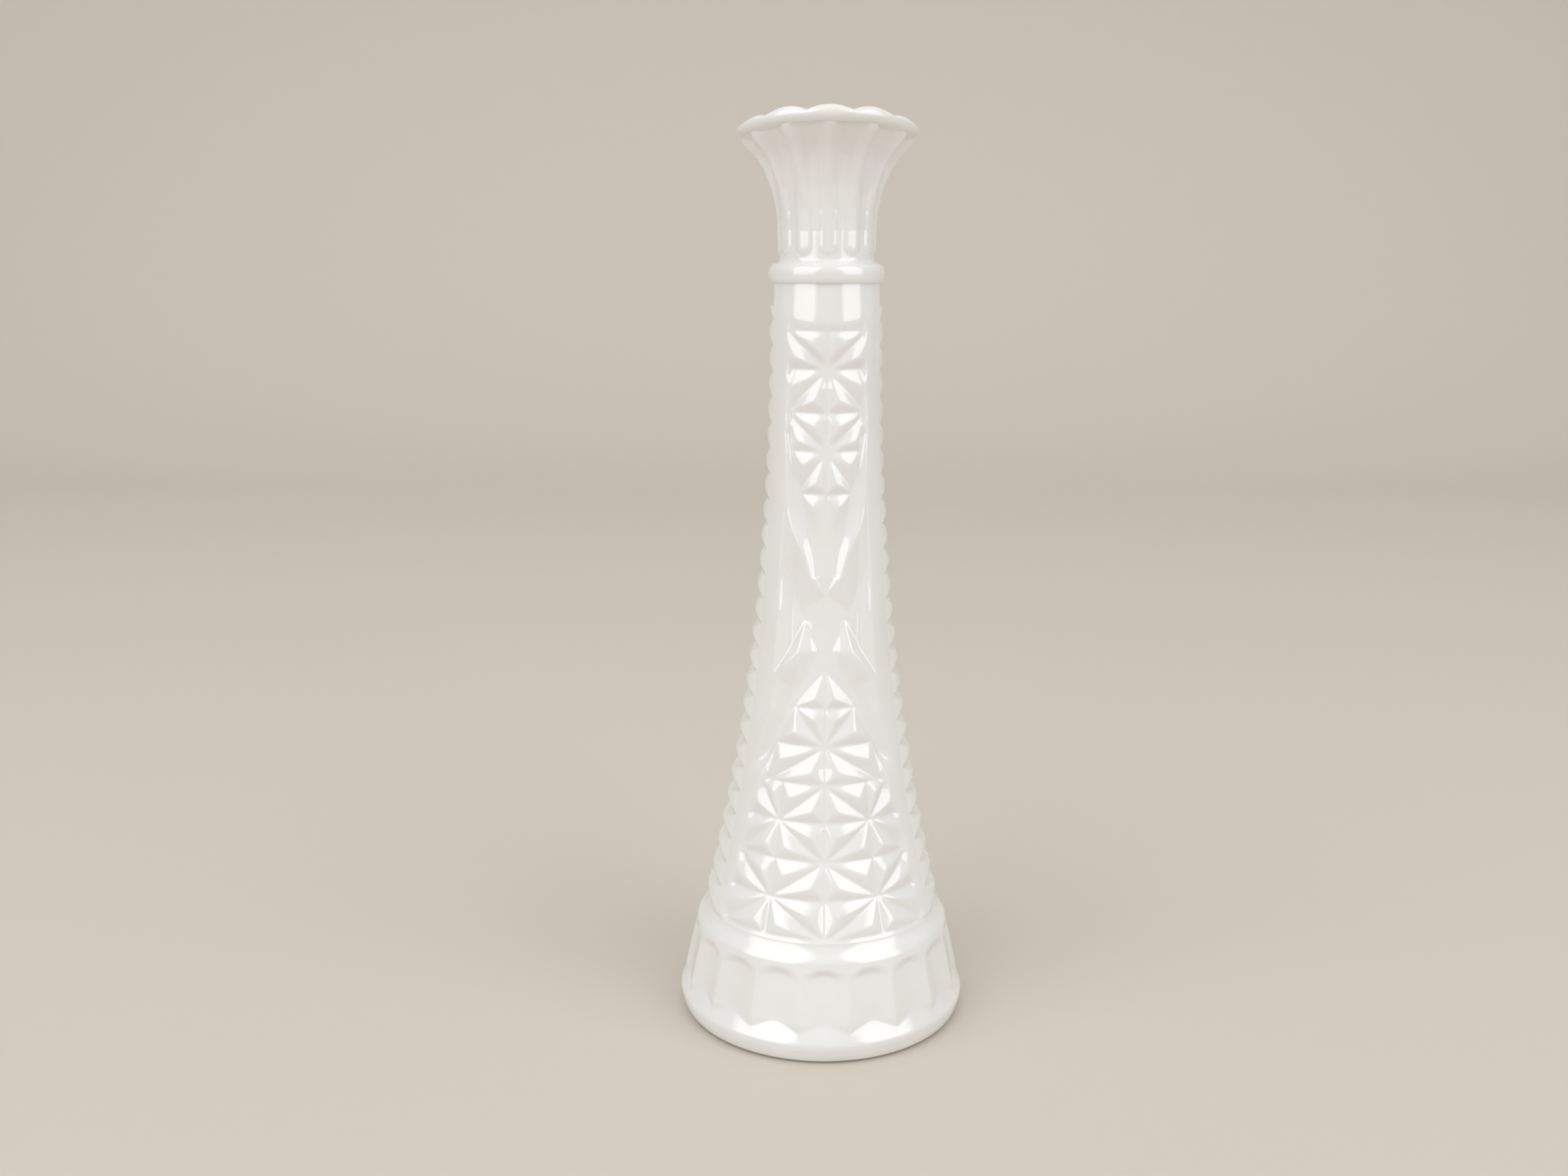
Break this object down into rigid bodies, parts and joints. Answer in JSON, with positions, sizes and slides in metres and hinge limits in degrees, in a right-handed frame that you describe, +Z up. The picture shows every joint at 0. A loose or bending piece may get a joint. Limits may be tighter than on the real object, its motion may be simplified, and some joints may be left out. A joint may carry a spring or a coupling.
{
  "type": "bud vase",
  "caption": "Tall slender bud vase of opaque white pressed glass on a flared foot, with star panels, ribbed sides, a ringed neck and a scalloped flared mouth.",
  "frame": {"origin": "middle of the resting face under the foot", "axes": "+Z up along the vase's axis; the two star faces look along -Y and +Y, the two rib columns along -X and +X"},
  "size_m": [0.076, 0.076, 0.232],
  "materials": {
    "milk_glass": "opaque white milk glass, pressed and fire polished: glossy, slightly translucent at thin edges"
  },
  "bodies": {
    "root": {"foot": "milk_glass", "shoulder_band": "milk_glass", "body": "milk_glass", "neck_ring": "milk_glass", "neck": "milk_glass", "mouth": "milk_glass"}
  },
  "joints": []
}
